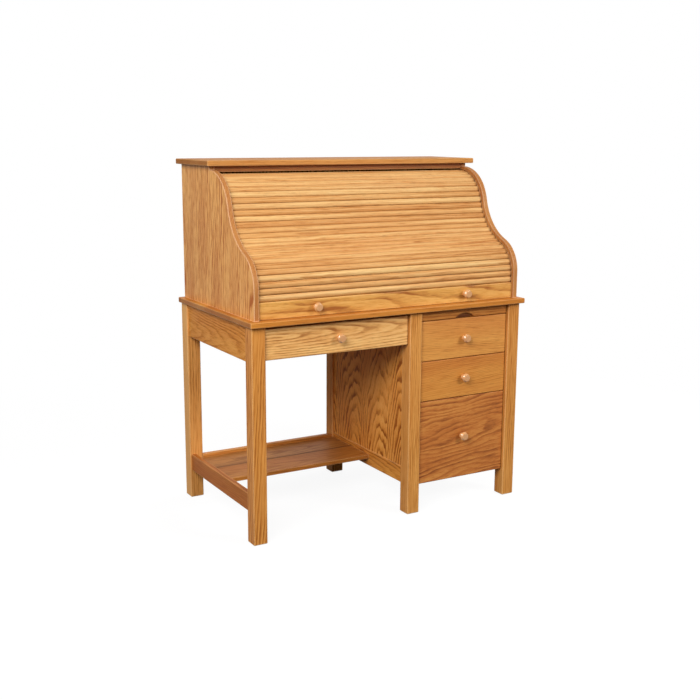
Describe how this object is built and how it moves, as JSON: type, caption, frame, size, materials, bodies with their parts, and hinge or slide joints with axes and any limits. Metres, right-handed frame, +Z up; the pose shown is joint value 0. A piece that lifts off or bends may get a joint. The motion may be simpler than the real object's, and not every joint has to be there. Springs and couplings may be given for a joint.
{
  "type": "roll top computer desk",
  "caption": "Oak roll top desk: slatted roll on S-shaped gables over a desk with an open kneehole and shelf, a centre drawer, and a drawer pedestal with a writing slide.",
  "frame": {"origin": "on the floor, under the middle of the desk top", "axes": "+X to the sitter's right, +Y from the front to the back, +Z up"},
  "size_m": [1.118, 0.63, 1.265],
  "materials": {
    "oak_top": "satin lacquer",
    "oak_frame": "satin lacquer",
    "oak_panel": "satin lacquer",
    "oak_front": "satin lacquer",
    "oak_roll": "satin lacquer",
    "knob_wood": "satin lacquer",
    "drawer_wood": "plain sanded wood"
  },
  "bodies": {
    "case": {"desk_top": "oak_top", "hutch_top": "oak_top", "shelf_front_board": "oak_top", "shelf_rear_board": "oak_top", "front_left_leg": "oak_frame", "rear_left_leg": "oak_frame", "front_middle_leg": "oak_frame", "rear_middle_leg": "oak_frame", "front_right_leg": "oak_frame", "rear_right_leg": "oak_frame", "left_apron": "oak_frame", "rear_apron": "oak_frame", "left_lower_rail": "oak_frame", "shelf_rear_rail": "oak_frame", "pedestal_left_rail": "oak_frame", "pedestal_right_rail": "oak_frame", "header_rail": "oak_frame", "left_gable": "oak_frame", "right_gable": "oak_frame", "pedestal_left_panel": "oak_panel", "pedestal_right_panel": "oak_panel", "pedestal_back_panel": "oak_panel", "hutch_back": "oak_panel", "centre_runners": "drawer_wood", "pedestal_runners": "drawer_wood", "slide_runners": "drawer_wood"},
    "centre_drawer": {"centre_drawer_front": "oak_front", "centre_drawer_box": "drawer_wood", "centre_drawer_bottom": "drawer_wood", "centre_drawer_knob": "knob_wood"},
    "upper_drawer": {"upper_drawer_front": "oak_front", "upper_drawer_box": "drawer_wood", "upper_drawer_bottom": "drawer_wood", "upper_drawer_knob": "knob_wood"},
    "middle_drawer": {"middle_drawer_front": "oak_front", "middle_drawer_box": "drawer_wood", "middle_drawer_bottom": "drawer_wood", "middle_drawer_knob": "knob_wood"},
    "deep_drawer": {"deep_drawer_front": "oak_front", "deep_drawer_box": "drawer_wood", "deep_drawer_bottom": "drawer_wood", "deep_drawer_knob": "knob_wood"},
    "writing_slide": {"writing_slide_front": "oak_front", "writing_slide_board": "oak_front"},
    "lift_rail": {"lift_rail": "oak_roll", "lift_knobs": "knob_wood"},
    "roll_section_1": {"slat_pair_01": "oak_roll", "slat_pair_02": "oak_roll"},
    "roll_section_2": {"slat_pair_03": "oak_roll"},
    "roll_section_3": {"slat_pair_04": "oak_roll", "slat_pair_05": "oak_roll"},
    "roll_section_4": {"slat_pair_06": "oak_roll", "slat_pair_07": "oak_roll"},
    "roll_section_5": {"slat_pair_08": "oak_roll", "slat_pair_09": "oak_roll", "slat_pair_10": "oak_roll"},
    "roll_section_6": {"slat_pair_11": "oak_roll"},
    "roll_section_7": {"slat_pair_12": "oak_roll", "slat_pair_13": "oak_roll"}
  },
  "joints": [
    {"name": "centre_drawer_slide", "type": "slide", "parent": "case", "child": "centre_drawer", "axis": [0, -1, 0], "range_m": [0, 0.34]},
    {"name": "upper_drawer_slide", "type": "slide", "parent": "case", "child": "upper_drawer", "axis": [0, -1, 0], "range_m": [0, 0.37]},
    {"name": "middle_drawer_slide", "type": "slide", "parent": "case", "child": "middle_drawer", "axis": [0, -1, 0], "range_m": [0, 0.37]},
    {"name": "deep_drawer_slide", "type": "slide", "parent": "case", "child": "deep_drawer", "axis": [0, -1, 0], "range_m": [0, 0.37]},
    {"name": "writing_slide_slide", "type": "slide", "parent": "case", "child": "writing_slide", "axis": [0, -1, 0], "range_m": [0, 0.3]},
    {"name": "roll_lift", "type": "hinge", "parent": "case", "child": "roll_section_4", "pos_m": [0, 0.1546, 0.88476], "axis": [-1, 0, 0], "range_deg": [0, 79.03]},
    {"name": "section_5_bend", "type": "hinge", "parent": "roll_section_4", "child": "roll_section_5", "pos_m": [0, -0.10186, 1.04351], "axis": [-1, 0, 0], "range_deg": [0, 88.59]},
    {"name": "section_6_bend", "type": "hinge", "parent": "roll_section_5", "child": "roll_section_6", "pos_m": [0, -0.05146, 1.16103], "axis": [-1, 0, 0], "range_deg": [-22.81, 0]},
    {"name": "section_7_bend", "type": "hinge", "parent": "roll_section_6", "child": "roll_section_7", "pos_m": [0, -0.02007, 1.19012], "axis": [-1, 0, 0], "range_deg": [-28.51, 0]},
    {"name": "section_3_bend", "type": "hinge", "parent": "roll_section_4", "child": "roll_section_3", "pos_m": [0, -0.15916, 0.98045], "axis": [-1, 0, 0], "range_deg": [-49.35, 0]},
    {"name": "section_2_bend", "type": "hinge", "parent": "roll_section_3", "child": "roll_section_2", "pos_m": [0, -0.2335, 0.93806], "axis": [-1, 0, 0], "range_deg": [0, 21.35]},
    {"name": "section_1_bend", "type": "hinge", "parent": "roll_section_2", "child": "roll_section_1", "pos_m": [0, -0.26041, 0.90478], "axis": [-1, 0, 0], "range_deg": [0, 16.87]},
    {"name": "lift_rail_bend", "type": "hinge", "parent": "roll_section_1", "child": "lift_rail", "pos_m": [0, -0.271, 0.8205], "axis": [-1, 0, 0], "range_deg": [-25.01, 0]}
  ],
  "couplings": [
    {"joint": "section_5_bend", "follows": "roll_lift", "ratio": 1.1208},
    {"joint": "section_6_bend", "follows": "roll_lift", "ratio": -0.28856},
    {"joint": "section_7_bend", "follows": "roll_lift", "ratio": -0.36065},
    {"joint": "section_3_bend", "follows": "roll_lift", "ratio": -0.62434},
    {"joint": "section_2_bend", "follows": "roll_lift", "ratio": 0.2701},
    {"joint": "section_1_bend", "follows": "roll_lift", "ratio": 0.21343},
    {"joint": "lift_rail_bend", "follows": "roll_lift", "ratio": -0.3164}
  ]
}
